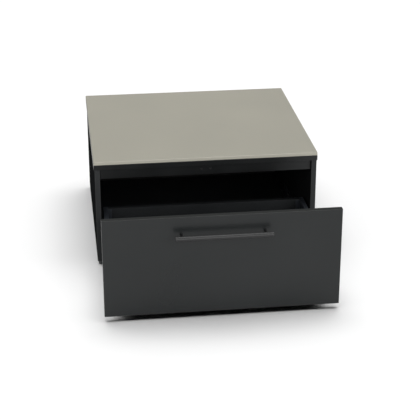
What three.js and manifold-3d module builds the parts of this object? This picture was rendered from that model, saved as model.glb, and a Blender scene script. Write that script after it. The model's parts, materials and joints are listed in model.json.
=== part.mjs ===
// Low side table with one full-width drawer on roller runners.
//
// Millimetres, +X to the right, +Y to the back, +Z up. The table stands on z = 0. Its pieces are
// drawn with x = 0 in the middle and y = 0 at the front of the cabinet, and the whole table is then
// moved so that the origin is in the middle of the space that it takes up, its drawer pulled out.

import * as THREE from 'three';
import { mergeVertices } from 'three/addons/utils/BufferGeometryUtils.js';
import Module from 'manifold-3d';

// Cabinet
const topWidth = 650;
const topDepth = 600;
const coverThickness = 10;
const boardThickness = 15;
const footHeight = 12;
const sideHeight = 287;
const topOverhang = 2;
const frontRailHeight = 31;
const railRecess = 11;
const flatRailDepth = 70;
const backThickness = 3;
const backInset = 12;
const grooveDepth = 6;

// Drawer
const frontWidth = 642;
const frontThickness = 16;
const frontBottom = 17;
const frontTop = 299;
const frontGap = 2.5;
const boxDepth = 410;
const boxBottom = 32;
const boxTop = 155;
const drawerBoard = 16;
const sheet = 1.25;
const travel = 338;

// Runners, with distances across them measured from the inner face of the cabinet's side
const wallOffset = 21;
const lipOffset = 8;
const runnerStart = 2;
const runnerLength = 410;
const runnerBottom = 36;
const lowerFlange = 12.5;
const upperFlange = 5.5;
const slideOffset = 7;
const rollerRadius = 11;
const rollerWidth = 8.5;
const rollerOffset = 2.75;
const rollerClearance = 0.25;
const frontRollerY = 26;
const rearRollerInset = 12;

// Handle
const barRadius = 7;
const barLength = 261;
const barHeight = 250;
const postSpacing = 224;
const postRadius = 4;
const standoff = 30;

// Fasteners, and the gap that a piece keeps to the piece that is cut to hold it
const screwRadius = 1.75;
const screwTip = 3;
const gap = 0.3;

// How far a cut runs on past the surface that it opens
const overrun = 1;

const panelBottom = footHeight + sideHeight;
const coverBottom = panelBottom + boardThickness;
const sideOuter = topWidth / 2 - topOverhang;
const sideInner = sideOuter - boardThickness;
const backFront = topDepth - backInset - backThickness;
const wallX = sideInner - wallOffset;
const frontBack = -frontGap;
const frontFace = frontBack - frontThickness;
const boxBack = frontBack + boxDepth;
const boxFloor = boxBottom + sheet + drawerBoard;
const rollerZ = runnerBottom + sheet + rollerClearance + rollerRadius;
const slideBottom = rollerZ + rollerRadius + rollerClearance;
const rearRollerY = boxBack - rearRollerInset;

const paint = (color, roughness, metalness = 0) =>
  new THREE.MeshStandardMaterial({ color, roughness, metalness });
const coverFoil = paint(0xa7a598, 0.55);
const darkFoil = paint(0x3c3e3d, 0.6);
const frontFoil = paint(0x3a3c3b, 0.5);
const hardboard = paint(0x2e2f30, 0.8);
const blackSteel = paint(0x2b2c2e, 0.45, 0.6);
const brightSteel = paint(0x9a9c9e, 0.35, 0.9);
const handleSteel = paint(0x5c5e60, 0.35, 0.8);
const darkPlastic = paint(0x2c2d2f, 0.6);
const rollerPlastic = paint(0xd8d8d2, 0.45);
const softPlastic = paint(0xd9dcdc, 0.35);
const beech = paint(0xc79f6c, 0.75);

const wasm = await Module();
wasm.setup();

// The mesh of a three.js geometry as a solid that can be joined and cut.
function toSolid(geometry) {
  const bare = geometry.clone();
  bare.deleteAttribute('normal');
  bare.deleteAttribute('uv');
  const merged = mergeVertices(bare);
  return new wasm.Manifold(
    new wasm.Mesh({
      numProp: 3,
      vertProperties: merged.getAttribute('position').array,
      triVerts: new Uint32Array(merged.getIndex().array),
    }),
  );
}

function fromSolid(solid) {
  const mesh = solid.getMesh();
  const geometry = new THREE.BufferGeometry();
  geometry.setAttribute('position', new THREE.BufferAttribute(mesh.vertProperties, 3));
  geometry.setIndex(new THREE.BufferAttribute(mesh.triVerts, 1));
  return geometry;
}

function cutAway(geometry, tools) {
  return fromSolid(tools.reduce((solid, tool) => solid.subtract(toSolid(tool)), toSolid(geometry)));
}

function joined(geometry, extras) {
  return fromSolid(extras.reduce((solid, extra) => solid.add(toSolid(extra)), toSolid(geometry)));
}

// A box between two corners.
function boxBetween([x0, y0, z0], [x1, y1, z1]) {
  const box = new THREE.BoxGeometry(Math.abs(x1 - x0), Math.abs(y1 - y0), Math.abs(z1 - z0));
  return box.translate((x0 + x1) / 2, (y0 + y1) / 2, (z0 + z1) / 2);
}

// A round solid: the profile lists [radius, distance along the axis], the axis starts at a point.
function turned(profile, start, direction, sides = 16) {
  const points = profile.map(([radius, distance]) => new THREE.Vector2(radius, distance));
  const geometry = new THREE.LatheGeometry(points, sides);
  const up = new THREE.Vector3(0, 1, 0);
  geometry.applyQuaternion(new THREE.Quaternion().setFromUnitVectors(up, new THREE.Vector3(...direction)));
  return geometry.translate(...start);
}

// A plain round bar, used for bores too.
function rod(radius, length, start, direction, sides = 16) {
  return turned([[0, 0], [radius, 0], [radius, length], [0, length]], start, direction, sides);
}

// An outline in X and Z, pushed back along Y from yStart.
function profileAlongY(outline, yStart, length) {
  const shape = new THREE.Shape(outline.map(([x, z]) => new THREE.Vector2(x, z)));
  const geometry = new THREE.ExtrudeGeometry(shape, { depth: length, bevelEnabled: false });
  return geometry.rotateX(Math.PI / 2).translate(0, yStart + length, 0);
}

const table = new THREE.Group();
const drawer = new THREE.Group();
drawer.position.y = -travel;
table.add(drawer);

// Adds a piece drawn in the closed table's frame: its mesh is placed at the middle of the piece.
function addPiece(owner, name, geometry, material) {
  geometry.computeBoundingBox();
  const middle = geometry.boundingBox.getCenter(new THREE.Vector3());
  const mesh = new THREE.Mesh(geometry.translate(-middle.x, -middle.y, -middle.z), material);
  mesh.name = name;
  mesh.position.copy(middle);
  owner.add(mesh);
}

// A screw whose head rests at a point on a surface and looks in a direction.
function screw(head, direction, { headRadius, headHeight, length }) {
  const profile = [
    [0, -length],
    [screwRadius * 0.3, -length],
    [screwRadius, screwTip - length],
    [screwRadius, 0],
    [headRadius, 0],
    [headRadius * 0.92, headHeight * 0.55],
    [headRadius * 0.6, headHeight],
    [0, headHeight],
  ];
  return turned(profile, head, direction, 12);
}

// The hole that such a screw goes into.
function screwHole(head, direction, length) {
  const inward = direction.map((part) => -part);
  const start = head.map((part, i) => part + overrun * direction[i]);
  return rod(screwRadius + gap, length + 2 * overrun, start, inward, 12);
}

const sides = [
  { word: 'left', sign: -1 },
  { word: 'right', sign: 1 },
];

// The boards between the cabinet's sides, with glued dowels in their ends.
const dowelFromEnd = 60;
const crossBoards = [
  {
    name: 'front_rail',
    low: [railRecess, panelBottom - frontRailHeight],
    high: [railRecess + boardThickness, panelBottom],
    dowelY: [railRecess + boardThickness / 2],
  },
  {
    name: 'rear_rail',
    low: [backFront - gap - flatRailDepth, panelBottom - boardThickness],
    high: [backFront - gap, panelBottom],
    dowelY: [backFront - flatRailDepth / 2],
  },
  {
    name: 'bottom_panel',
    low: [railRecess, footHeight],
    high: [backFront - gap, footHeight + boardThickness],
    dowelY: [dowelFromEnd, backFront - dowelFromEnd],
  },
];
const dowelRadius = 4;
const dowelLength = 30;
const dowelInSide = 10;
const railScrewX = 13;
const railScrewDrop = 13.5;
const railScrewZ = panelBottom - railScrewDrop;
const railBlock = { halfWidth: 45, depth: 30 };
const runnerScrewY = [150, 340];
const runnerScrew = { headRadius: 3.5, headHeight: 1, length: 13 };

function addTop() {
  const half = topWidth / 2;
  const cover = boxBetween([-half, 0, coverBottom], [half, topDepth, coverBottom + coverThickness]);
  addPiece(table, 'top_cover', cover, coverFoil);
  const panel = boxBetween([-half, 0, panelBottom], [half, topDepth, coverBottom]);
  addPiece(table, 'top_panel', panel, darkFoil);
}

function dowelStart(crossBoard, y, sign) {
  return [sign * (sideInner + dowelInSide), y, (crossBoard.low[1] + crossBoard.high[1]) / 2];
}

function dowelBores(crossBoard, sign) {
  return crossBoard.dowelY.map((y) => {
    const start = dowelStart(crossBoard, y, sign);
    return rod(dowelRadius + gap, dowelLength + gap, start, [-sign, 0, 0], 12);
  });
}

function runnerScrewHead(sign, y) {
  return [sign * (sideInner - sheet), y, rollerZ];
}

function addSide({ word, sign }) {
  const board = boxBetween([sign * sideInner, 0, footHeight], [sign * sideOuter, topDepth, panelBottom]);
  const groove = boxBetween(
    [sign * (sideInner - overrun), backFront - gap, footHeight - overrun],
    [sign * (sideInner + grooveDepth), backFront + backThickness + gap, panelBottom + overrun],
  );
  const bores = crossBoards.flatMap((crossBoard) => dowelBores(crossBoard, sign));
  const screwHoles = runnerScrewY.map((y) =>
    screwHole(runnerScrewHead(sign, y), [-sign, 0, 0], runnerScrew.length + gap),
  );
  addPiece(table, `${word}_side`, cutAway(board, [groove, ...bores, ...screwHoles]), darkFoil);
}

function addCrossBoard(crossBoard) {
  const board = boxBetween([-sideInner, ...crossBoard.low], [sideInner, ...crossBoard.high]);
  const cuts = sides.flatMap(({ sign }) => dowelBores(crossBoard, sign));
  if (crossBoard.name === 'front_rail') {
    cuts.push(...sides.flatMap(({ sign }) => railScrewCuts(sign)));
  }
  addPiece(table, crossBoard.name, cutAway(board, cuts), darkFoil);
}

function addDowels(crossBoard, { word, sign }) {
  const end = dowelRadius * 0.8;
  const chamfer = 1.5;
  const profile = [
    [0, gap],
    [end, gap],
    [dowelRadius, chamfer],
    [dowelRadius, dowelLength - chamfer],
    [end, dowelLength - gap],
    [0, dowelLength - gap],
  ];
  crossBoard.dowelY.forEach((y, i) => {
    const geometry = turned(profile, dowelStart(crossBoard, y, sign), [-sign, 0, 0], 12);
    addPiece(table, `${crossBoard.name}_dowel_${word}_${i + 1}`, geometry, beech);
  });
}

// The two sunk screws in the middle of the front rail, and the block behind it that they go into.
const railScrew = { headRadius: 3.2, headHeight: 1.6, length: 28 };
const railScrewDepth = 2.2;

function railScrewCuts(sign) {
  const start = [sign * railScrewX, railRecess - overrun, railScrewZ];
  const through = boardThickness + railBlock.depth + 2 * overrun;
  const bore = rod(screwRadius + gap, through, start, [0, 1, 0], 12);
  const sink = rod(railScrew.headRadius + gap, railScrewDepth + overrun, start, [0, 1, 0], 16);
  return [bore, sink];
}

function addRailScrews() {
  const y = railRecess + boardThickness;
  const { halfWidth, depth } = railBlock;
  const block = boxBetween(
    [-halfWidth, y, panelBottom - frontRailHeight],
    [halfWidth, y + depth, panelBottom],
  );
  const bores = sides.map(({ sign }) => railScrewCuts(sign)[0]);
  addPiece(table, 'rail_block', cutAway(block, bores), beech);
  for (const { word, sign } of sides) {
    const seat = [sign * railScrewX, railRecess + railScrewDepth, railScrewZ];
    addPiece(table, `rail_screw_${word}`, screw(seat, [0, -1, 0], railScrew), blackSteel);
  }
}

function addBackPanel() {
  const half = sideInner + grooveDepth - gap;
  const low = [-half, backFront, footHeight + gap];
  const high = [half, backFront + backThickness, panelBottom - gap];
  addPiece(table, 'back_panel', boxBetween(low, high), hardboard);
}

// Moulded glides under the ends of the sides, with rounded ends.
const footWidth = 11;
const footLength = 32;
const footInset = 3;
const footEndInset = 4;

function addFeet() {
  const half = footWidth / 2;
  const straight = footLength / 2 - half;
  const outline = new THREE.Shape();
  outline.absarc(0, straight, half, 0, Math.PI, false);
  outline.absarc(0, -straight, half, Math.PI, 2 * Math.PI, false);
  const places = [
    { end: 'front', y: footEndInset + footLength / 2 },
    { end: 'rear', y: topDepth - footEndInset - footLength / 2 },
  ];
  for (const { word, sign } of sides) {
    for (const { end, y } of places) {
      const options = { depth: footHeight, bevelEnabled: false, curveSegments: 8 };
      const foot = new THREE.ExtrudeGeometry(outline, options);
      foot.translate(sign * (sideOuter - footInset - half), y, 0);
      addPiece(table, `${end}_foot_${word}`, foot, darkPlastic);
    }
  }
}

// Roller runners: a channel on each cabinet side with a roller at its front end. The drawer's steel
// side rides on that roller by its outward flange, and has a roller of its own at its rear end.
const openFront = 42;
const stopDrop = 6;
const axleRadius = 2.6;
const axleBore = 3;
const headRadius = 4.6;
const headThickness = 1.2;
const sinkRadius = 5.2;
const sinkDepth = 1.5;
const headRoom = 0.15;
const collarRadius = 5;
const flangePlay = 0.5;

function rollerProfile() {
  const edge = 0.5;
  return [
    [axleBore, 0],
    [rollerRadius - edge, 0],
    [rollerRadius, edge],
    [rollerRadius, rollerWidth - edge],
    [rollerRadius - edge, rollerWidth],
    [sinkRadius, rollerWidth],
    [sinkRadius, rollerWidth - sinkDepth],
    [axleBore, rollerWidth - sinkDepth],
    [axleBore, 0],
  ];
}

// A riveted axle: a stub in the sheet, a collar, the journal and a head sunk in the roller.
function axleProfile(collar) {
  const headStart = collar + gap + rollerWidth - sinkDepth + headRoom;
  return [
    [0, gap - sheet],
    [axleRadius, gap - sheet],
    [axleRadius, 0],
    [collarRadius, 0],
    [collarRadius, collar],
    [axleRadius, collar],
    [axleRadius, headStart],
    [headRadius, headStart],
    [headRadius, headStart + headThickness],
    [0, headStart + headThickness],
  ];
}

function addRunner({ word, sign }) {
  const at = (offset) => sign * (sideInner - offset);
  const top = slideBottom + flangePlay + sheet;
  const outline = [
    [at(0), runnerBottom],
    [at(lowerFlange), runnerBottom],
    [at(lowerFlange), runnerBottom + sheet],
    [at(sheet), runnerBottom + sheet],
    [at(sheet), top - sheet],
    [at(upperFlange), top - sheet],
    [at(upperFlange), top],
    [at(0), top],
  ];
  const channel = profileAlongY(outline, runnerStart, runnerLength);
  const liftOut = boxBetween(
    [at(sheet), runnerStart - overrun, top - sheet - overrun],
    [at(upperFlange + overrun), openFront, top + overrun],
  );
  const axleHole = rod(axleBore, sheet + 2 * overrun, [at(-overrun), frontRollerY, rollerZ], [-sign, 0, 0]);
  const holes = runnerScrewY.map((y) => screwHole(runnerScrewHead(sign, y), [-sign, 0, 0], sheet + gap));
  // The stop hangs from the upper flange just in front of the drawer's roller when it is pulled out.
  const stopZ = top - stopDrop;
  const reach = Math.sqrt(rollerRadius ** 2 - (stopZ - rollerZ) ** 2);
  const stopY = rearRollerY - travel - reach - gap;
  const stop = boxBetween([at(sheet / 2), stopY - sheet, stopZ], [at(upperFlange), stopY, top]);
  const cut = cutAway(channel, [liftOut, axleHole, ...holes]);
  addPiece(table, `runner_${word}`, joined(cut, [stop]), blackSteel);

  const rollerStart = [at(rollerOffset), frontRollerY, rollerZ];
  const roller = turned(rollerProfile(), rollerStart, [-sign, 0, 0], 32);
  addPiece(table, `front_roller_${word}`, roller, rollerPlastic);
  const axleStart = [at(sheet), frontRollerY, rollerZ];
  const axle = turned(axleProfile(rollerOffset - sheet - gap), axleStart, [-sign, 0, 0]);
  addPiece(table, `front_axle_${word}`, axle, brightSteel);
  runnerScrewY.forEach((y, i) => {
    const geometry = screw(runnerScrewHead(sign, y), [-sign, 0, 0], runnerScrew);
    addPiece(table, `runner_screw_${word}_${i + 1}`, geometry, brightSteel);
  });
}

function addDrawerSide({ word, sign }) {
  const at = (offset) => sign * (sideInner - offset);
  const wallOuter = wallOffset - sheet;
  const bottomFlange = 14;
  const lipDrop = 6;
  const outline = [
    [at(wallOffset + bottomFlange), boxBottom],
    [at(wallOuter), boxBottom],
    [at(wallOuter), slideBottom],
    [at(slideOffset), slideBottom],
    [at(slideOffset), slideBottom + sheet],
    [at(wallOuter), slideBottom + sheet],
    [at(wallOuter), boxTop - sheet],
    [at(lipOffset + sheet), boxTop - sheet],
    [at(lipOffset + sheet), boxTop - lipDrop],
    [at(lipOffset), boxTop - lipDrop],
    [at(lipOffset), boxTop],
    [at(wallOffset), boxTop],
    [at(wallOffset), boxBottom + sheet],
    [at(wallOffset + bottomFlange), boxBottom + sheet],
  ];
  const profile = profileAlongY(outline, frontBack, boxDepth);
  const holeStart = [at(wallOffset + overrun), rearRollerY, rollerZ];
  const axleHole = rod(axleBore, sheet + 2 * overrun, holeStart, [sign, 0, 0]);
  addPiece(drawer, `drawer_side_${word}`, cutAway(profile, [axleHole]), blackSteel);

  const rollerStart = [at(rollerOffset + rollerWidth), rearRollerY, rollerZ];
  const roller = turned(rollerProfile(), rollerStart, [sign, 0, 0], 32);
  addPiece(drawer, `rear_roller_${word}`, roller, rollerPlastic);
  const axleStart = [at(wallOuter), rearRollerY, rollerZ];
  const axle = turned(axleProfile(wallOuter - rollerOffset - rollerWidth - gap), axleStart, [sign, 0, 0]);
  addPiece(drawer, `rear_axle_${word}`, axle, brightSteel);
}

// The holes that the screws of the handle and the brackets need in the drawer's front.
const frontScrew = { headRadius: 3.6, headHeight: 2, length: 12 };
const frontScrewZ = [70, 120];
const frontBracket = { foot: 24, leg: 20, low: 55, high: 135, screwFromEnd: 9 };
const handleScrew = { headRadius: 4, headHeight: 2.4, length: frontThickness + 9 };
const handleBore = 2.2;
const threadDepth = 9 + gap;

function frontScrewHead(sign, z) {
  return [sign * (wallX - frontBracket.foot + frontBracket.screwFromEnd), frontBack + sheet, z];
}

function addDrawerFront() {
  const half = frontWidth / 2;
  const board = boxBetween([-half, frontFace, frontBottom], [half, frontBack, frontTop]);
  const cuts = sides.flatMap(({ sign }) => [
    rod(
      handleBore,
      frontThickness + 2 * overrun,
      [sign * postSpacing / 2, frontBack + overrun, barHeight],
      [0, -1, 0],
      12,
    ),
    ...frontScrewZ.map((z) => screwHole(frontScrewHead(sign, z), [0, 1, 0], frontScrew.length + gap)),
  ]);
  addPiece(drawer, 'drawer_front', cutAway(board, cuts), frontFoil);
}

function addFrontBracket({ word, sign }) {
  const { foot, leg, low, high } = frontBracket;
  const alongSide = boxBetween(
    [sign * wallX, frontBack, low],
    [sign * (wallX - sheet), frontBack + leg, high],
  );
  const onFront = boxBetween(
    [sign * (wallX - sheet / 2), frontBack, low],
    [sign * (wallX - foot), frontBack + sheet, high],
  );
  const holes = frontScrewZ.map((z) => screwHole(frontScrewHead(sign, z), [0, 1, 0], sheet + gap));
  const bracket = cutAway(joined(alongSide, [onFront]), holes);
  addPiece(drawer, `front_bracket_${word}`, bracket, blackSteel);
  frontScrewZ.forEach((z, i) => {
    const geometry = screw(frontScrewHead(sign, z), [0, 1, 0], frontScrew);
    addPiece(drawer, `front_screw_${word}_${i + 1}`, geometry, brightSteel);
  });
}

const rearBracket = { foot: 12, leg: 18, belowTop: 2 };
const rearScrewPlace = { fromWall: 7.5, z: 110 };

function rearScrewHead(sign) {
  const { fromWall, z } = rearScrewPlace;
  return [sign * (wallX - fromWall), boxBack - drawerBoard - sheet, z];
}

function addRearBracket({ word, sign }) {
  const backFace = boxBack - drawerBoard;
  const high = boxTop - rearBracket.belowTop;
  const alongSide = boxBetween(
    [sign * wallX, backFace - rearBracket.leg, boxFloor],
    [sign * (wallX - sheet), backFace, high],
  );
  const onBack = boxBetween(
    [sign * (wallX - sheet / 2), backFace - sheet, boxFloor],
    [sign * (wallX - rearBracket.foot), backFace, high],
  );
  const hole = screwHole(rearScrewHead(sign), [0, -1, 0], sheet + gap);
  const bracket = cutAway(joined(alongSide, [onBack]), [hole]);
  addPiece(drawer, `rear_bracket_${word}`, bracket, blackSteel);
  const geometry = screw(rearScrewHead(sign), [0, -1, 0], frontScrew);
  addPiece(drawer, `rear_screw_${word}`, geometry, brightSteel);
}

function addDrawerBoards() {
  const bottom = boxBetween([-wallX, frontBack, boxBottom + sheet], [wallX, boxBack, boxFloor]);
  addPiece(drawer, 'drawer_bottom', bottom, darkFoil);
  const back = boxBetween([-wallX, boxBack - drawerBoard, boxFloor], [wallX, boxBack, boxTop]);
  const holes = sides.map(({ sign }) => screwHole(rearScrewHead(sign), [0, -1, 0], frontScrew.length + gap));
  addPiece(drawer, 'drawer_back', cutAway(back, holes), darkFoil);
}

function addHandle() {
  const barY = frontFace - standoff;
  const edge = 0.8;
  const profile = [
    [0, 0],
    [barRadius - edge, 0],
    [barRadius, edge],
    [barRadius, barLength - edge],
    [barRadius - edge, barLength],
    [0, barLength],
  ];
  const barStart = [-barLength / 2, barY, barHeight];
  addPiece(drawer, 'handle_bar', turned(profile, barStart, [1, 0, 0], 32), handleSteel);
  const barRoom = rod(barRadius + gap, barLength, [-barLength / 2, barY, barHeight], [1, 0, 0], 32);
  for (const { word, sign } of sides) {
    const x = sign * postSpacing / 2;
    const post = rod(postRadius, standoff, [x, frontFace, barHeight], [0, -1, 0], 24);
    const threadStart = [x, frontFace + overrun, barHeight];
    const thread = rod(screwRadius + gap, threadDepth + overrun, threadStart, [0, -1, 0], 12);
    addPiece(drawer, `handle_post_${word}`, cutAway(post, [barRoom, thread]), handleSteel);
    const head = [x, frontBack, barHeight];
    addPiece(drawer, `handle_screw_${word}`, screw(head, [0, 1, 0], handleScrew), brightSteel);
  }
}

// Soft pads on the back of the front, which meet the edges of the cabinet's sides.
const bumper = { radius: 4.5, rim: 1.2, z: 280 };
const frontEdgeToPad = 6.5;

function addBumper({ word, sign }) {
  const { radius, rim, z } = bumper;
  const x = sign * (frontWidth / 2 - frontEdgeToPad);
  const profile = [
    [0, 0],
    [radius, 0],
    [radius, rim],
    [radius * 0.6, frontGap - gap],
    [0, frontGap - gap],
  ];
  addPiece(drawer, `bumper_${word}`, turned(profile, [x, frontBack, z], [0, 1, 0]), softPlastic);
}

addTop();
sides.forEach(addSide);
crossBoards.forEach(addCrossBoard);
crossBoards.forEach((crossBoard) => sides.forEach((side) => addDowels(crossBoard, side)));
addRailScrews();
addBackPanel();
addFeet();
sides.forEach(addRunner);
addDrawerFront();
sides.forEach(addDrawerSide);
addDrawerBoards();
sides.forEach(addFrontBracket);
sides.forEach(addRearBracket);
addHandle();
sides.forEach(addBumper);

const frontReach = travel - frontFace + standoff + barRadius;
table.position.y = (frontReach - topDepth) / 2;

const part = new THREE.Group();
part.add(table);

export default part;
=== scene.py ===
import json
import math

import bmesh
import bpy
import numpy as np
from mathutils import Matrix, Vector

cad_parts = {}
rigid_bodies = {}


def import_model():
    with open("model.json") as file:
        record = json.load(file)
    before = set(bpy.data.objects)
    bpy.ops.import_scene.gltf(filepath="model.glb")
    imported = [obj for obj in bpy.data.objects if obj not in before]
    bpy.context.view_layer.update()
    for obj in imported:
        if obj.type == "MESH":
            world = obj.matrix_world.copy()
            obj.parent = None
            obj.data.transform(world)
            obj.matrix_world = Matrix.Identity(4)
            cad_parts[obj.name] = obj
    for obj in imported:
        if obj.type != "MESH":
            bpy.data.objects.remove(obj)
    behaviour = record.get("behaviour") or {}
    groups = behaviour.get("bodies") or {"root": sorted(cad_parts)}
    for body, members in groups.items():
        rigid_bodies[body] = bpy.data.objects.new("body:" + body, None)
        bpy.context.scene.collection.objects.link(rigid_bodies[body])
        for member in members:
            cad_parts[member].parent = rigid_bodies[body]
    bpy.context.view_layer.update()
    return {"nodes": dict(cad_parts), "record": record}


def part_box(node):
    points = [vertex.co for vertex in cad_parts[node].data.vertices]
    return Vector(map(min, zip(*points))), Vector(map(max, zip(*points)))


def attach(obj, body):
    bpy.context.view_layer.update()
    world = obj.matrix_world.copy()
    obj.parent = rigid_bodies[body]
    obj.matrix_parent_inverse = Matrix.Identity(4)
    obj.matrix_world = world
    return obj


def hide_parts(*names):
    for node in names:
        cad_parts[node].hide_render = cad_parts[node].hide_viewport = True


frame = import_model()
print("frame loaded:", len(frame["nodes"]), "nodes")

mm = 0.001
sheet = 1.25 * mm
sides = (("left", -1), ("right", 1))


def span(node):
    low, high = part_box(node)
    return np.array(low), np.array(high)


def unit(vectors):
    return vectors / np.maximum(np.linalg.norm(vectors, axis=-1, keepdims=True), 1e-12)


# Turns every face so that its own normal agrees with the normals given for its corners.
def facing(points, normals, faces):
    a, b, c, d = (points[faces[:, k]] for k in range(4))
    own = np.cross(c - a, d - b)
    wrong = (own * normals[faces].sum(1)).sum(1) < 0
    faces[wrong] = faces[wrong][:, ::-1]
    return faces


# Quads between neighbouring rows and columns of a grid of points, wrapped round if closed.
def gridFaces(rows, columns, closedRows=False, closedColumns=True):
    index = np.arange(rows * columns).reshape(rows, columns)
    if closedColumns:
        index = np.concatenate([index, index[:, :1]], 1)
    if closedRows:
        index = np.concatenate([index, index[:1]], 0)
    corners = [index[:-1, :-1], index[1:, :-1], index[1:, 1:], index[:-1, 1:]]
    return np.stack(corners, -1).reshape(-1, 4)


# Makes the object: points that fall together become one, and quads that collapse become triangles.
# The rim attribute is 1 where a normal points midway between two axes, on rounded edges, else 0.
# The front attribute is 1 where a normal points forwards, and the border attribute is 1 where it is
# square to that.
def makePiece(name, points, normals, faces, caps=(), exact=True):
    together, diagonal = 1e-7, 0.707
    faces = facing(points, normals, faces)
    keys = np.round(points / together).astype(np.int64)
    _, first, place = np.unique(keys, axis=0, return_index=True, return_inverse=True)
    place = place.reshape(-1)
    polygons = [list(dict.fromkeys(face)) for face in place[faces].tolist()]
    polygons = [face for face in polygons if len(face) > 2]
    for cap in caps:
        ring = points[cap]
        own = np.cross(ring - ring.mean(0), np.roll(ring, -1, 0) - ring.mean(0)).sum(0)
        cap = cap if own @ normals[cap[0]] > 0 else cap[::-1]
        polygons.append(list(dict.fromkeys(place[cap].tolist())))
    mesh = bpy.data.meshes.new(name)
    mesh.from_pydata(points[first].tolist(), [], polygons)
    mesh.shade_smooth()
    if exact:
        mesh.normals_split_custom_set_from_vertices(normals[first].tolist())
    else:
        mesh.set_sharp_from_angle(angle=math.radians(40))
    straight = np.abs(unit(normals[first])).max(1)
    rim = np.clip(1 - (straight - diagonal) / (1 - diagonal), 0, 1)
    front = np.clip(-unit(normals[first])[:, 1], 0, 1) ** 4
    border = 1 - np.abs(unit(normals[first])[:, 1])
    for label, values in (("rim", rim), ("front", front), ("border", border)):
        layer = mesh.attributes.new(label, "FLOAT", "POINT")
        layer.data.foreach_set("value", values.astype(np.float32))
    piece = bpy.data.objects.new(name, mesh)
    bpy.context.scene.collection.objects.link(piece)
    return piece


# Says which body a piece moves with, which node it stands for and which finish it has.
def settle(piece, node, material):
    piece.data.materials.clear()
    piece.data.materials.append(material)
    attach(piece, bodyOf[node])
    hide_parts(node)
    return piece


bodyOf = {
    node: body
    for body, members in frame["record"]["behaviour"]["bodies"].items()
    for node in members
}
slotOf = {part["node"]: part["material_slot"] for part in frame["record"]["subparts"]}


# Rounded board: on each of the six faces, grid lines lie close together near the edges. Every grid
# point is pulled to the nearest point of the board shrunk by the radius, then pushed out by it.
# Round cups can be pressed into the front face. At distance r from a cup's middle, they are
# depth * clip((cupRadius - r) / wall, 0, 1) deep, and the normal follows from the slope.
def roundedBoard(name, low, high, radius, steps=4, cups=(), cup=None):
    half = (high - low) / 2
    core = half - radius
    slant = np.tan(np.linspace(math.pi / 4, 0, steps + 1)) * radius
    middles = np.array(cups) - (low + high) / 2 if len(cups) else np.empty((0, 3))
    fine = np.linspace(-1.1, 1.1, 45) * cup["radius"] if cup else np.empty(0)
    extra = [np.unique((middles[:, k, None] + fine).round(6)) for k in range(3)]
    allPoints, allFaces, count = [], [], 0
    for axis in range(3):
        u, v = [k for k in range(3) if k != axis]
        lines = [
            np.concatenate([-core[k] - slant, extra[k] if k != 1 else [], (core[k] + slant)[::-1]])
            for k in (u, v)
        ]
        gridU, gridV = np.meshgrid(*lines, indexing="ij")
        for sign in (-1, 1):
            grid = np.empty(gridU.shape + (3,))
            grid[..., u], grid[..., v], grid[..., axis] = gridU, gridV, sign * half[axis]
            allPoints.append(grid.reshape(-1, 3))
            allFaces.append(gridFaces(*gridU.shape, closedColumns=False) + count)
            count += gridU.size
    cube = np.concatenate(allPoints)
    pulled = np.clip(cube, -core, core)
    normals = unit(cube - pulled)
    points = pulled + normals * radius
    for middle in middles:
        x, z = points[:, 0] - middle[0], points[:, 2] - middle[2]
        distance = np.maximum(np.hypot(x, z), 1e-9)
        inside = (points[:, 1] < -core[1]) & (distance < cup["radius"])
        rise = np.clip((cup["radius"] - distance) / cup["wall"], 0, 1)
        points[:, 1] += np.where(inside, rise * cup["depth"], 0)
        slope = np.where(inside & (rise < 1), cup["depth"] / cup["wall"], 0)
        normals[:, 0] -= slope * x / distance
        normals[:, 2] -= slope * z / distance
    points += (low + high) / 2
    return makePiece(name, points, unit(normals), np.concatenate(allFaces))


# Outline with an arc at each corner: the arc touches both edges at radius / tan(half the corner's
# angle) from the corner. Gives the points and their outward normals, anticlockwise.
def roundCorners(corners, radii, steps=6, closed=True):
    corners = np.asarray(corners, float)
    radii = np.broadcast_to(np.asarray(radii, float), len(corners))
    ahead = np.roll(corners, -1, 0)
    area = (corners[:, 0] * ahead[:, 1] - corners[:, 1] * ahead[:, 0]).sum()
    if closed and area < 0:
        corners, radii = corners[::-1], radii[::-1]
    back = unit(np.roll(corners, 1, 0) - corners)
    on = unit(np.roll(corners, -1, 0) - corners)
    middle = unit(back + on)
    halfAngle = np.arccos(np.clip((back * middle).sum(1), -1, 1))
    centres = corners + middle * (radii / np.sin(halfAngle))[:, None]
    reach = (radii / np.tan(halfAngle))[:, None]
    fromStart = unit(corners + back * reach - centres)
    fromEnd = unit(corners + on * reach - centres)
    sweep = np.arccos(np.clip((fromStart * fromEnd).sum(1), -1, 1))[:, None, None]
    along = np.linspace(0, 1, steps)[None, :, None]
    spokes = np.sin((1 - along) * sweep) * fromStart[:, None] + np.sin(along * sweep) * fromEnd[:, None]
    spokes = unit(spokes)
    points = centres[:, None] + spokes * radii[:, None, None]
    convex = np.where(back[:, 1] * on[:, 0] - back[:, 0] * on[:, 1] > 0, 1.0, -1.0)
    normals = spokes * convex[:, None, None]
    if closed:
        return points.reshape(-1, 2), normals.reshape(-1, 2)
    first = np.array([-on[0][1], on[0][0]]) * -1
    last = np.array([-back[-1][1], back[-1][0]])
    points = np.vstack([corners[:1], points[1:-1].reshape(-1, 2), corners[-1:]])
    normals = np.vstack([first[None], normals[1:-1].reshape(-1, 2), last[None]])
    return points, normals


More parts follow.
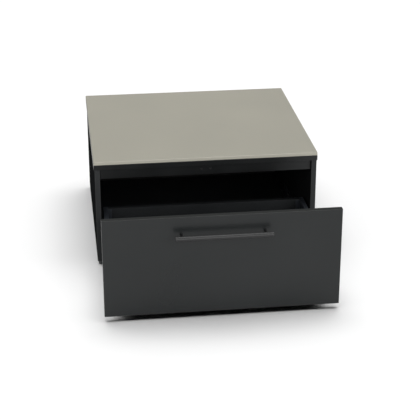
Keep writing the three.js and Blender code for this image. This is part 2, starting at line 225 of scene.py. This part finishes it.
# Prism: the outline is carried along an axis. Near each end it shrinks along its normals by
# rim * (1 - cos a) while it moves by rim * (1 - sin a), where a runs over a quarter turn.
def prism(name, outline, radii, axis, start, end, rim, steps=6):
    flat, flatNormals = roundCorners(outline, radii, steps)
    turn = np.linspace(math.pi / 2, 0, 4)
    place = np.concatenate([start + rim * (1 - np.sin(turn)), end - rim * (1 - np.sin(turn[::-1]))])
    inset = rim * (1 - np.cos(np.concatenate([turn, turn[::-1]])))
    lean = np.concatenate([-np.sin(turn), np.sin(turn[::-1])])
    u, v = [k for k in range(3) if k != axis]
    points = np.empty((len(place), len(flat), 3))
    normals = np.empty_like(points)
    ring = flat[None] - flatNormals[None] * inset[:, None, None]
    points[..., u], points[..., v], points[..., axis] = ring[..., 0], ring[..., 1], place[:, None]
    upright = np.sqrt(1 - lean**2)[:, None, None] * flatNormals[None]
    normals[..., u], normals[..., v], normals[..., axis] = upright[..., 0], upright[..., 1], lean[:, None]
    rows, columns = points.shape[:2]
    faces = gridFaces(rows, columns)
    caps = (np.arange(columns), np.arange(columns) + (rows - 1) * columns)
    return makePiece(name, points.reshape(-1, 3), normals.reshape(-1, 3), faces, caps)


# Two directions square to an axis, and the axis itself.
def axesFrom(direction):
    axis = unit(np.asarray(direction, float))
    side = unit(np.cross(axis, (0, 0, 1) if abs(axis[2]) < 0.9 else (1, 0, 0)))
    return side, np.cross(axis, side), axis


# Turned surface: a profile of (radius, distance) goes round the axis, so that a point is
# start + axis * distance + radius * (side * cos a + up * sin a).
def turned(name, profile, radii, start, direction, steps=64, closed=False):
    flat, flatNormals = roundCorners(profile, radii, 5, closed)
    if flatNormals[flat[:, 0].argmax(), 0] < 0:
        flatNormals = -flatNormals
    side, up, axis = axesFrom(direction)
    angle = np.linspace(0, 2 * math.pi, steps, endpoint=False)
    radial = np.cos(angle)[:, None] * side + np.sin(angle)[:, None] * up
    points = flat[:, None, :1] * radial[None] + flat[:, None, 1:] * axis + np.asarray(start)
    normals = flatNormals[:, None, :1] * radial[None] + flatNormals[:, None, 1:] * axis
    faces = gridFaces(len(flat), steps, closedRows=closed)
    return makePiece(name, points.reshape(-1, 3), unit(normals).reshape(-1, 3), faces)


# A copy of a node for a shape that neither a board, a prism nor a turned surface gives: its corners
# are merged and its edges bevelled.
def bevelledCopy(name, node, width):
    mesh = frame["nodes"][node].data.copy()
    work = bmesh.new()
    work.from_mesh(mesh)
    bmesh.ops.remove_doubles(work, verts=work.verts, dist=1e-6)
    bmesh.ops.dissolve_limit(work, angle_limit=0.02, verts=work.verts, edges=work.edges)
    work.to_mesh(mesh)
    work.free()
    mesh.shade_smooth()
    piece = bpy.data.objects.new(name, mesh)
    bpy.context.scene.collection.objects.link(piece)
    bevel = piece.modifiers.new("edges", "BEVEL")
    bevel.width = width
    bevel.segments = 3
    bevel.limit_method = "ANGLE"
    bevel.angle_limit = math.radians(40)
    bevel.harden_normals = True
    return piece


def addNode(tree, kind, settings=None, **inputs):
    node = tree.nodes.new("ShaderNode" + kind)
    for key, value in (settings or {}).items():
        setattr(node, key, value)
    for key, value in inputs.items():
        node.inputs[key.replace("_", " ")].default_value = value
    return node


def mixColours(tree, factor, first, second, blend="MIX"):
    node = addNode(tree, "Mix", {"data_type": "RGBA", "blend_type": blend})
    sockets = (node.inputs[0], node.inputs[6], node.inputs[7])  # the factor and the two colours
    for socket, value in zip(sockets, (factor, first, second)):
        if isinstance(value, bpy.types.NodeSocket):
            tree.links.new(value, socket)
        else:
            socket.default_value = value if isinstance(value, float) else (*value, 1)
    return node.outputs[2]


def rescaled(tree, value, low, high, fromLow=0.3, fromHigh=0.7):
    node = addNode(tree, "MapRange", From_Min=fromLow, From_Max=fromHigh, To_Min=low, To_Max=high)
    tree.links.new(value, node.inputs["Value"])
    return node.outputs["Result"]


# A finish on object coordinates: its colour wanders slowly between two shades, a fine grain lightens
# and darkens it, roughness follows both, and the grain stands up as relief. Rounded edges take their
# own tone from the rim attribute, broken up by the grain: a painted highlight where it is lighter, and
# painted shade that tones the highlight down where it is darker. Faces turned to the front, or square
# to it, can take a paler tone as well: painted light for the extra light falling on those faces.
def makeFinish(name, look):
    material = bpy.data.materials.new(name)
    material.use_nodes = True
    tree = material.node_tree
    shader = tree.nodes["Principled BSDF"]
    shader.inputs["Metallic"].default_value = look.get("metal", 0.0)
    shader.inputs["IOR"].default_value = 1.45
    shader.inputs["Specular IOR Level"].default_value = look.get("shine", 0.5)
    shader.inputs["Transmission Weight"].default_value = look.get("clear", 0.0)
    place = addNode(tree, "TexCoord").outputs["Object"]
    stretched = addNode(tree, "Mapping", Scale=look.get("stretch", (1, 1, 1)))
    tree.links.new(place, stretched.inputs["Vector"])
    cloud = addNode(tree, "TexNoise", Scale=look["cloud"], Detail=3.0, Roughness=0.55)
    grain = addNode(tree, "TexNoise", Scale=look["grain"], Detail=5.0, Roughness=0.62)
    for noise in (cloud, grain):
        tree.links.new(stretched.outputs["Vector"], noise.inputs["Vector"])
    colour = mixColours(tree, rescaled(tree, cloud.outputs["Fac"], 0, 1), look["dark"], look["light"])
    depth = look.get("speckle", 0.1)
    speckle = rescaled(tree, grain.outputs["Fac"], 1 - depth, 1 + depth)
    tone = addNode(tree, "CombineColor")
    for socket in tone.inputs:
        tree.links.new(speckle, socket)
    colour = mixColours(tree, 1.0, colour, tone.outputs["Color"], "MULTIPLY")
    # painted light: faces turned to the front, or square to it, take a paler tone
    for label in ("front", "border"):
        if label in look:
            paintedFaceLight = addNode(tree, "Attribute", {"attribute_name": label})
            colour = mixColours(tree, paintedFaceLight.outputs["Fac"], colour, look[label])
    # painted highlight: rounded edges take the edge tone, broken up by the grain; where that tone is
    # darker it is painted shade over the edge's highlight
    if "edge" in look:
        rim = addNode(tree, "Attribute", {"attribute_name": "rim"})
        paintedRimLightGrain = rescaled(tree, grain.outputs["Fac"], 0.4, 1.0)
        paintedRimLight = addNode(tree, "Math", {"operation": "MULTIPLY"})
        tree.links.new(rim.outputs["Fac"], paintedRimLight.inputs[0])
        tree.links.new(paintedRimLightGrain, paintedRimLight.inputs[1])
        colour = mixColours(tree, paintedRimLight.outputs["Value"], colour, look["edge"])
    tree.links.new(colour, shader.inputs["Base Color"])
    rough = rescaled(tree, cloud.outputs["Fac"], *look["rough"])
    if "edge" in look:
        duller = addNode(tree, "Math", {"operation": "MULTIPLY_ADD"})
        tree.links.new(rim.outputs["Fac"], duller.inputs[0])
        duller.inputs[1].default_value = 0.35
        tree.links.new(rough, duller.inputs[2])
        rough = duller.outputs["Value"]
    tree.links.new(rough, shader.inputs["Roughness"])
    bump = addNode(tree, "Bump", Strength=look["relief"], Distance=0.2 * mm)
    tree.links.new(grain.outputs["Fac"], bump.inputs["Height"])
    tree.links.new(bump.outputs["Normal"], shader.inputs["Normal"])
    return material


finishes = {
    "cover_foil": dict(  # matt grey-beige foil; its lighter edge tone is a painted highlight on the rounded edges
        light=(0.21, 0.203, 0.172), dark=(0.199, 0.193, 0.1645), edge=(0.227, 0.221, 0.191),
        cloud=5, grain=1400, speckle=0.04, rough=(0.6, 0.7), shine=0.1, relief=0.12,
    ),
    "dark_foil": dict(  # satin anthracite foil; its lighter edge tone is a painted highlight on the rounded edges
        light=(0.0038, 0.0042, 0.0044), dark=(0.0032, 0.0035, 0.0037), edge=(0.0075, 0.0078, 0.008),
        cloud=7, grain=1600, speckle=0.16, rough=(0.27, 0.35), shine=0.36, relief=0.2,
    ),
    "side_foil": dict(  # the same foil with a dull finish; painted highlight on its rounded edges, painted light on its front edges
        light=(0.0082, 0.0087, 0.009), dark=(0.0069, 0.0073, 0.0076), edge=(0.06, 0.061, 0.062),
        front=(0.0188, 0.0198, 0.0203),
        cloud=7, grain=1600, speckle=0.16, rough=(0.7, 0.8), shine=0.0, relief=0.2,
    ),
    "drawer_foil": dict(  # plain matt foil on the boards inside; its slightly lighter edge tone is a painted highlight
        light=(0.0096, 0.0105, 0.0111), dark=(0.0081, 0.0089, 0.0095), edge=(0.0115, 0.0122, 0.0126),
        cloud=9, grain=1500, speckle=0.14, rough=(0.55, 0.65), shine=0.1, relief=0.2,
    ),
    "dark_screw": dict(  # blackened steel
        light=(0.006, 0.0062, 0.0065), dark=(0.0045, 0.0047, 0.005),
        cloud=200, grain=2400, speckle=0.2, rough=(0.4, 0.5), shine=0.3, relief=0.2,
    ),
    "front_foil": dict(  # satin anthracite foil; painted light on faces square to the front, painted shade on its rims
        light=(0.0065, 0.0074, 0.0076), dark=(0.0057, 0.0065, 0.0067), edge=(0.006, 0.0069, 0.007),
        border=(0.0165, 0.0175, 0.017),
        cloud=4, grain=1800, speckle=0.12, rough=(0.27, 0.33), shine=0.36, relief=0.14,
    ),
    # near-black tone: painted shade for the dark inside of the cabinet, put on the back panel
    "hardboard": dict(
        light=(0.004, 0.0041, 0.0042), dark=(0.003, 0.0031, 0.0032),
        cloud=12, grain=500, speckle=0.3, stretch=(1, 1, 0.35), rough=(0.65, 0.8), shine=0.3, relief=0.3,
    ),
    "black_steel": dict(  # epoxy paint with a slight orange peel; its lighter edge tone is a painted highlight on the rounded sheet edges
        light=(0.0125, 0.0145, 0.0175), dark=(0.0105, 0.012, 0.0148), edge=(0.018, 0.02, 0.023),
        cloud=15, grain=420, speckle=0.06, rough=(0.36, 0.46), shine=0.3, relief=0.15,
    ),
    "bright_steel": dict(  # zinc plating with a faint warm and blue bloom
        light=(0.5, 0.5, 0.49), dark=(0.36, 0.37, 0.39), metal=1.0,
        cloud=160, grain=2400, speckle=0.12, rough=(0.28, 0.44), relief=0.15,
    ),
    "handle_steel": dict(  # brushed along the bar, with a dark grey coat
        light=(0.015, 0.0152, 0.0153), dark=(0.0123, 0.0125, 0.0127),
        cloud=60, grain=900, speckle=0.22, stretch=(0.02, 1, 1),
        rough=(0.2, 0.28), shine=0.22, relief=0.18,
    ),
    # the handle's metal in a much darker tone: painted shade that keeps the posts dark under the overhead
    # lamp
    "post_steel_painted_shade": dict(
        light=(0.0042, 0.0043, 0.0045), dark=(0.0034, 0.0035, 0.0037),
        cloud=90, grain=1500, speckle=0.12, rough=(0.35, 0.45), shine=0.2, relief=0.12,
    ),
    "dark_plastic": dict(
        light=(0.024, 0.025, 0.026), dark=(0.018, 0.019, 0.02),
        cloud=60, grain=1300, speckle=0.1, rough=(0.5, 0.62), relief=0.35,
    ),
    "roller_plastic": dict(
        light=(0.7, 0.69, 0.64), dark=(0.62, 0.61, 0.56),
        cloud=90, grain=900, speckle=0.03, rough=(0.3, 0.42), relief=0.05,
    ),
    "soft_plastic": dict(
        light=(0.85, 0.87, 0.87), dark=(0.78, 0.8, 0.8), clear=0.7,
        cloud=200, grain=1500, speckle=0.03, rough=(0.18, 0.3), relief=0.05,
    ),
    "beech": dict(
        light=(0.56, 0.35, 0.17), dark=(0.42, 0.24, 0.1),
        cloud=90, grain=700, speckle=0.2, stretch=(0.12, 1, 1), rough=(0.55, 0.7), relief=0.3,
    ),
}
materials = {slot: makeFinish(slot, look) for slot, look in finishes.items()}


def finish(piece, node, look=None):
    return settle(piece, node, materials[look or slotOf[node]])


print("finishes made:", len(materials))


boardLook = {
    "top_cover": 1.6 * mm,
    "top_panel": 0.7 * mm,
    "rear_rail": 0.6 * mm,
    "bottom_panel": 0.6 * mm,
    "back_panel": 0.3 * mm,
    "rail_block": 1.0 * mm,
    "drawer_front": 0.6 * mm,
    "drawer_bottom": 0.5 * mm,
    "drawer_back": 0.9 * mm,
}
for node, radius in boardLook.items():
    look = "drawer_foil" if node in ("drawer_bottom", "drawer_back", "bottom_panel") else None
    finish(roundedBoard(node + "_board", *span(node), radius), node, look)

railLook = {"radius": 0.7 * mm, "cup": {"radius": 3.5 * mm, "wall": 0.35 * mm, "depth": 2.2 * mm}}
railScrews = [sum(span("rail_screw_" + word)) / 2 for word, _ in sides]
railBoard = roundedBoard(
    "front_rail_board", *span("front_rail"), railLook["radius"], cups=railScrews, cup=railLook["cup"]
)
finish(railBoard, "front_rail")

sideLook = {"slack": 0.3 * mm, "groove": 6 * mm, "edge": 1.6 * mm, "corner": 0.35 * mm, "rim": 0.3 * mm}


# The side's outline seen from above, with the groove that holds the back panel.
def makeSide(word, sign):
    low, high = span(word + "_side")
    backLow, backHigh = span("back_panel")
    outer, inner = (low[0], high[0]) if sign < 0 else (high[0], low[0])
    deep = inner + sign * sideLook["groove"]
    near, far = backLow[1] - sideLook["slack"], backHigh[1] + sideLook["slack"]
    outline = [
        (outer, low[1]), (inner, low[1]), (inner, near), (deep, near),
        (deep, far), (inner, far), (inner, high[1]), (outer, high[1]),
    ]
    edge, corner = sideLook["edge"], sideLook["corner"]
    radii = [edge, edge, corner, corner, corner, corner, edge, edge]
    piece = prism(word + "_side_board", outline, radii, 2, low[2], high[2], sideLook["rim"])
    finish(piece, word + "_side", "side_foil")


for word, sign in sides:
    makeSide(word, sign)


dowelLook = {
    "flutes": 18, "fluteDepth": 0.05, "chamfer": 1.3 * mm, "tip": 0.8, "rows": 24, "columns": 72,
}


# Fluted dowel: the radius dips a little between its flutes, and less towards the chamfered ends.
def makeDowel(node):
    low, high = span(node)
    centre = (low + high) / 2
    radius, length = (high[2] - low[2]) / 2, high[0] - low[0]
    rows, columns, tip = dowelLook["rows"], dowelLook["columns"], dowelLook["tip"]
    along = np.linspace(0, 1, rows)[:, None]
    angle = np.linspace(0, 2 * math.pi, columns, endpoint=False)[None]
    chamfer = np.clip(np.minimum(along, 1 - along) * length / dowelLook["chamfer"], 0, 1)
    flutes = 0.5 + 0.5 * np.cos(angle * dowelLook["flutes"])
    reach = radius * (tip + (1 - tip) * chamfer) * (1 - dowelLook["fluteDepth"] * flutes * chamfer)
    x = np.broadcast_to(low[0] + along * length, reach.shape)
    points = np.stack([x, centre[1] + reach * np.cos(angle), centre[2] + reach * np.sin(angle)], -1)
    normals = points - np.stack([x, np.full_like(x, centre[1]), np.full_like(x, centre[2])], -1)
    caps = (np.arange(columns), np.arange(columns) + (rows - 1) * columns)
    normals[0], normals[-1] = (-1, 0, 0), (1, 0, 0)
    faces = gridFaces(rows, columns)
    surface = points.reshape(-1, 3), normals.reshape(-1, 3)
    finish(makePiece(node + "_wood", *surface, faces, caps, exact=False), node)


for node in [name for name in frame["nodes"] if "dowel" in name]:
    makeDowel(node)

footLook = {"rim": 0.8 * mm, "arcSteps": 16, "flat": 0.01 * mm}


# Glide: an oblong with round ends is carried upwards.
def makeFoot(node):
    low, high = span(node)
    radius = (high[0] - low[0]) / 2 - footLook["flat"]
    outline = [(low[0], low[1]), (high[0], low[1]), (high[0], high[1]), (low[0], high[1])]
    rim = footLook["rim"]
    piece = prism(node + "_glide", outline, radius, 2, low[2], high[2], rim, footLook["arcSteps"])
    finish(piece, node)


for node in [name for name in frame["nodes"] if "_foot_" in name]:
    makeFoot(node)
print("cabinet made")


screwLook = {
    "recess": 1.1 * mm, "armWidth": 0.9 * mm, "armReach": 0.62,
    "dome": 0.45, "shoulder": 0.94, "rimTop": 0.62, "rimBottom": 0.95, "under": 0.96,
    "tip": 3 * mm, "point": 0.25, "flat": 0.02 * mm, "rings": 22, "columns": 64,
}


# Screw: a profile runs from the middle of the head over its rim and down the shank to the tip, and
# goes round the axis. On the head, a cross is pressed in: its depth at (x, y) falls off with |y| past
# the arm's width and with |x| towards the arm's end, and the deeper of the two arms counts.
def makeScrew(node, outward, headHeight, headRadius, shank, sunk=False):
    low, high = span(node)
    look = screwLook
    axis = np.asarray(outward, float)
    centre = (low + high) / 2
    extent = (high - low) @ np.abs(axis)
    top = centre + axis * extent / 2
    across = np.linspace(0, 1, look["rings"])
    dome = -headHeight * look["dome"] * across**3 if not sunk else 0 * across
    profile = np.concatenate([
        np.stack([across * headRadius * look["shoulder"], dome], 1),
        [[headRadius, -headHeight * look["rimTop"]], [headRadius, -headHeight * look["rimBottom"]]],
        [[headRadius * look["under"], -headHeight], [shank, -headHeight], [shank, look["tip"] - extent]],
        [[shank * look["point"], -extent + look["flat"]], [0, -extent]],
    ])
    onTop = np.concatenate([1 - across**6, np.zeros(len(profile) - len(across))])[:, None]
    angle = np.linspace(0, 2 * math.pi, look["columns"], endpoint=False)[None]
    radius = profile[:, :1]
    x, y = np.abs(radius * np.cos(angle)), np.abs(radius * np.sin(angle))
    half = look["armWidth"] / 2
    reach = look["armReach"] * headRadius

    def arm(along, off):
        beside = np.clip((half * 1.6 - off) / (half * 0.9), 0, 1)
        return beside * np.clip((reach - along) / (reach * 0.45), 0, 1)

    pressed = look["recess"] * np.maximum(arm(x, y), arm(y, x)) * onTop
    side, up, _ = axesFrom(axis)
    radial = np.cos(angle[0])[:, None] * side + np.sin(angle[0])[:, None] * up
    distance = profile[:, 1:] - pressed
    points = top + radius[..., None] * radial[None] + distance[..., None] * axis
    normals = np.broadcast_to(radial[None], points.shape).copy()
    normals[: len(across) - 2] = axis
    normals[-2:] = -axis
    faces = gridFaces(len(profile), look["columns"])
    piece = makePiece(node + "_metal", points.reshape(-1, 3), normals.reshape(-1, 3), faces, exact=False)
    finish(piece, node, "dark_screw" if sunk else None)


shank = 1.7 * mm
for word, sign in sides:
    makeScrew("rail_screw_" + word, (0, -1, 0), 1.6 * mm, 3.2 * mm, shank, sunk=True)
    makeScrew("handle_screw_" + word, (0, 1, 0), 2.4 * mm, 4 * mm, shank)
    makeScrew("rear_screw_" + word, (0, -1, 0), 2 * mm, 3.6 * mm, shank)
    for count in ("1", "2"):
        makeScrew(f"runner_screw_{word}_{count}", (-sign, 0, 0), 1 * mm, 3.5 * mm, shank)
        makeScrew(f"front_screw_{word}_{count}", (0, 1, 0), 2 * mm, 3.6 * mm, shank)
print("screws made")


runnerEdge = 0.25 * mm
for word, sign in sides:
    finish(bevelledCopy(f"runner_{word}_channel", "runner_" + word, runnerEdge), "runner_" + word)

# radii are shares of the roller's own, apart from the bore's and the sink's
rollerLook = {
    "bore": 3 * mm, "sink": 5.2 * mm, "sinkDepth": 1.5 * mm, "hub": 0.52, "sinkSide": 0.53,
    "webStart": 0.56, "webEnd": 0.8, "tyre": 0.84, "webDepth": 1.2 * mm,
}


# Roller: a tyre with rounded shoulders, a web set back between tyre and hub, and a bore.
def makeRoller(node, outward):
    low, high = span(node)
    centre = (low + high) / 2
    width, radius = high[0] - low[0], (high[2] - low[2]) / 2
    bore, sink, web = (rollerLook[key] for key in ("bore", "sink", "webDepth"))
    webStart, webEnd, tyre = (radius * rollerLook[key] for key in ("webStart", "webEnd", "tyre"))
    seat = width - rollerLook["sinkDepth"]
    profile = [
        (bore, 0), (radius * rollerLook["hub"], 0), (webStart, web), (webEnd, web),
        (tyre, 0), (radius, 0), (radius, width), (tyre, width),
        (webEnd, width - web), (webStart, width - web), (radius * rollerLook["sinkSide"], width),
        (sink, width), (sink, seat), (bore, seat),
    ]
    radii = [0.15, 0.25, 0.25, 0.25, 0.25, 0.7, 0.7, 0.25, 0.25, 0.25, 0.12, 0.12, 0.15, 0.15]
    start = centre - np.array([outward * width / 2, 0, 0])
    radii = np.array(radii) * mm
    finish(turned(node + "_wheel", profile, radii, start, (outward, 0, 0), 72, closed=True), node)


axleLook = {
    "slack": 0.3 * mm, "journal": 2.6 * mm, "head": 4.6 * mm, "dome": 3.4 * mm,
    "headHeight": 1.2 * mm, "domeHeight": 0.5 * mm, "edge": 0.2 * mm,
}


# Riveted axle: stub, collar, journal and a slightly domed head.
def makeAxle(node, outward, collar):
    low, high = span(node)
    centre = (low + high) / 2
    length, big = high[0] - low[0], (high[2] - low[2]) / 2
    stub = sheet - axleLook["slack"]
    headStart = length - axleLook["headHeight"]
    journal, head, dome = (axleLook[key] for key in ("journal", "head", "dome"))
    profile = [
        (0, 0), (journal, 0), (journal, stub), (big, stub), (big, stub + collar),
        (journal, stub + collar), (journal, headStart), (head, headStart),
        (head, length - axleLook["domeHeight"]), (dome, length), (0, length),
    ]
    start = centre - np.array([outward * length / 2, 0, 0])
    finish(turned(node + "_pin", profile, axleLook["edge"], start, (outward, 0, 0), 48), node)


frontCollar, rearCollar = 1.2 * mm, 8.2 * mm
for word, sign in sides:
    makeRoller("front_roller_" + word, -sign)
    makeRoller("rear_roller_" + word, sign)
    makeAxle("front_axle_" + word, -sign, frontCollar)
    makeAxle("rear_axle_" + word, sign, rearCollar)
print("runners made")


steelLook = {
    "flange": 14 * mm, "lip": 6 * mm, "lipSetback": 1 * mm, "runPlay": 0.25 * mm,
    "bend": 1.5 * mm, "inside": 0.35 * mm, "cut": 0.45 * mm, "rim": 0.2 * mm,
}


# The steel side's section: bottom flange, wall, running flange and a lip folded over at the top.
def makeDrawerSide(word, sign):
    node = "drawer_side_" + word
    low, high = span(node)
    inward = low[0] if sign > 0 else high[0]
    wallIn = inward + sign * steelLook["flange"]
    wallOut = wallIn + sign * sheet
    reach = high[0] if sign > 0 else low[0]
    lipOut = reach - sign * steelLook["lipSetback"]
    run = span("front_roller_" + word)[1][2] + steelLook["runPlay"]
    outline = [
        (inward, low[2]), (wallOut, low[2]), (wallOut, run), (reach, run), (reach, run + sheet),
        (wallOut, run + sheet), (wallOut, high[2] - sheet), (lipOut - sign * sheet, high[2] - sheet),
        (lipOut - sign * sheet, high[2] - steelLook["lip"]), (lipOut, high[2] - steelLook["lip"]),
        (lipOut, high[2]), (wallIn, high[2]), (wallIn, low[2] + sheet), (inward, low[2] + sheet),
    ]
    bend, inside, cut = steelLook["bend"], steelLook["inside"], steelLook["cut"]
    radii = [cut, bend, inside, cut, cut, inside, inside, inside, cut, cut, bend, bend, inside, cut]
    piece = prism(node + "_steel", outline, radii, 1, low[1], high[1], steelLook["rim"])
    finish(piece, node)


bracketLook = {"bend": 1.4 * mm, "inside": 0.5 * mm, "cut": 0.4 * mm, "rim": 0.25 * mm}


# An angle bracket seen from above, its two legs meeting in a rounded bend.
def makeBracket(node, sign, frontLeg):
    low, high = span(node)
    wall = high[0] if sign > 0 else low[0]
    tip = low[0] if sign > 0 else high[0]
    board, far = (low[1], high[1]) if frontLeg else (high[1], low[1])
    step = sheet if frontLeg else -sheet
    outline = [
        (wall, board), (tip, board), (tip, board + step), (wall - sign * sheet, board + step),
        (wall - sign * sheet, far), (wall, far),
    ]
    bend, inside, cut = (bracketLook[key] for key in ("bend", "inside", "cut"))
    radii = [bend, cut, cut, inside, cut, cut]
    finish(prism(node + "_steel", outline, radii, 2, low[2], high[2], bracketLook["rim"]), node)


for word, sign in sides:
    makeDrawerSide(word, sign)
    makeBracket("front_bracket_" + word, sign, True)
    makeBracket("rear_bracket_" + word, sign, False)

handleLook = {"edge": 0.8 * mm, "foot": 0.6 * mm, "spread": 0.35 * mm, "rows": 20, "columns": 64}


# The bar is a turned rod with a rounded edge at each end.
def makeHandle():
    low, high = span("handle_bar")
    centre = (low + high) / 2
    radius, length = (high[2] - low[2]) / 2, high[0] - low[0]
    profile = [(0, 0), (radius, 0), (radius, length), (0, length)]
    start = (low[0], centre[1], centre[2])
    finish(turned("handle_bar_steel", profile, handleLook["edge"], start, (1, 0, 0), 96), "handle_bar")
    for word, sign in sides:
        makePost("handle_post_" + word, centre, radius)


# Post: rings run from the drawer's front out to the bar. At angle a, the ring stops where the round
# bar begins: standoff - sqrt(barRadius^2 - (postRadius * sin a)^2). Its foot spreads slightly.
def makePost(node, bar, barRadius):
    low, high = span(node)
    centre = (low + high) / 2
    radius = (high[0] - low[0]) / 2
    rows, columns = handleLook["rows"], handleLook["columns"]
    along = np.linspace(0, 1, rows)[:, None]
    angle = np.linspace(0, 2 * math.pi, columns, endpoint=False)[None]
    seat = high[1] - bar[1]
    stop = seat - np.sqrt(barRadius**2 - (radius * np.sin(angle)) ** 2)
    distance = along**1.5 * stop
    ring = radius - handleLook["spread"] * np.clip(distance / handleLook["foot"], 0, 1) ** 0.5
    points = np.stack(
        [centre[0] + ring * np.cos(angle), high[1] - distance, centre[2] + ring * np.sin(angle)], -1
    )
    normals = np.stack([np.cos(angle) + 0 * along, 0 * along + 0 * angle, np.sin(angle) + 0 * along], -1)
    faces = gridFaces(rows, columns)
    caps = (np.arange(columns),)
    normals[0] = (0, 1, 0)
    # the seat on the bar is closed by a point in its middle
    middle = np.array([[centre[0], high[1] - (seat - barRadius), centre[2]]])
    flat = points.reshape(-1, 3)
    last = np.arange(columns) + (rows - 1) * columns
    tip = np.full(columns, len(flat))
    fan = np.stack([last, np.roll(last, -1), tip, tip], 1)
    flat = np.vstack([flat, middle])
    flatNormals = np.vstack([normals.reshape(-1, 3), [(0, -1, 0)]])
    faces = np.vstack([faces, fan])
    finish(makePiece(node + "_steel", flat, flatNormals, faces, caps, exact=False), node, "post_steel_painted_shade")


makeHandle()


bumperLook = {"rim": 0.45, "top": 0.7, "edge": 0.35 * mm}


# Pad: a short rod that narrows towards its top.
def makeBumper(node):
    low, high = span(node)
    centre = (low + high) / 2
    radius, height = (high[0] - low[0]) / 2, high[1] - low[1]
    rim, top = height * bumperLook["rim"], radius * bumperLook["top"]
    profile = [(0, 0), (radius, 0), (radius, rim), (top, height), (0, height)]
    start = (centre[0], low[1], centre[2])
    finish(turned(node + "_pad", profile, bumperLook["edge"], start, (0, 1, 0), 48), node)


for word, sign in sides:
    makeBumper("bumper_" + word)
print("drawer made")


cabinetFront = span("top_cover")[0][1]
cameraLook = {
    "place": (-0.4183, cabinetFront - 3.3769, 1.6543),
    "yaw": 7.222,
    "pitch": -23.727,
    "lens": 108.823,
    "sensor": 36,
}
floorLook = {"reach": 30, "shade": 0.86}
lightLook = {
    # name, height above the floor and direction round the table in degrees (0 is the right-hand
    # side, 90 the back), spread, strength, and whether it lights the table alone
    "lamps": [
        ("overhead", 90, 0, 54, 2.18, False),
        ("back_right", 58, 60, 36, 0.63, False),
        ("back_left", 58, 120, 36, 0.6, False),
        ("right", 54, 0, 36, 0.54, False),
        ("left", 48, 180, 36, 0.34, False),
        ("low_front_right", 8, 315, 60, 4.4, True),
        ("low_front", 8, 270, 60, 2.2, True),
        ("low_front_left", 8, 225, 60, 1.5, True),
        ("high_front", 35, 270, 60, 0.8, True),
    ],
}


def makeStage():
    points = np.array([(-1, -1, 0), (1, -1, 0), (1, 1, 0), (-1, 1, 0)], float) * floorLook["reach"]
    mesh = bpy.data.meshes.new("floor")
    mesh.from_pydata(points.tolist(), [], [(0, 1, 2, 3)])
    floor = bpy.data.objects.new("floor", mesh)
    bpy.context.scene.collection.objects.link(floor)
    shade = floorLook["shade"]
    pale = dict(
        light=(shade, shade, shade), dark=(shade * 0.99,) * 3,
        cloud=0.6, grain=300, speckle=0.004, rough=(0.8, 0.9), shine=0.1, relief=0.02,
    )
    mesh.materials.append(makeFinish("pale_floor", pale))


def makeLights():
    scene = bpy.context.scene
    scene.world = bpy.data.worlds.new("studio")
    scene.world.use_nodes = True
    # the surroundings are white, but they light nothing
    background = scene.world.node_tree.nodes["Background"]
    background.inputs["Color"].default_value = (1, 1, 1, 1)
    background.inputs["Strength"].default_value = 1
    for ray in ("diffuse", "glossy", "transmission", "scatter"):
        setattr(scene.world.cycles_visibility, ray, False)
    table = bpy.data.collections.new("table")
    for thing in scene.objects:
        if thing.type == "MESH" and thing.name != "floor":
            table.objects.link(thing)
    for name, height, turn, spread, strength, alone in lightLook["lamps"]:
        lamp = bpy.data.lights.new(name, "SUN")
        lamp.energy = strength
        lamp.angle = math.radians(spread)
        thing = bpy.data.objects.new(name, lamp)
        up, around = math.radians(height), math.radians(turn)
        towards = (math.cos(up) * math.cos(around), math.cos(up) * math.sin(around), math.sin(up))
        thing.rotation_euler = Vector(towards).to_track_quat("Z", "Y").to_euler()
        scene.collection.objects.link(thing)
        if alone:
            thing.light_linking.receiver_collection = table


def makeCamera():
    data = bpy.data.cameras.new("camera")
    data.sensor_width = cameraLook["sensor"]
    data.lens = cameraLook["lens"]
    camera = bpy.data.objects.new("camera", data)
    camera.location = cameraLook["place"]
    pitch, yaw = math.radians(cameraLook["pitch"]), math.radians(cameraLook["yaw"])
    camera.rotation_euler = (math.pi / 2 + pitch, 0, -yaw)
    bpy.context.scene.collection.objects.link(camera)
    bpy.context.scene.camera = camera


makeStage()
makeLights()
makeCamera()
bpy.context.scene.view_settings.view_transform = "Standard"
print("stage, light and camera set")

bpy.context.view_layer.update()
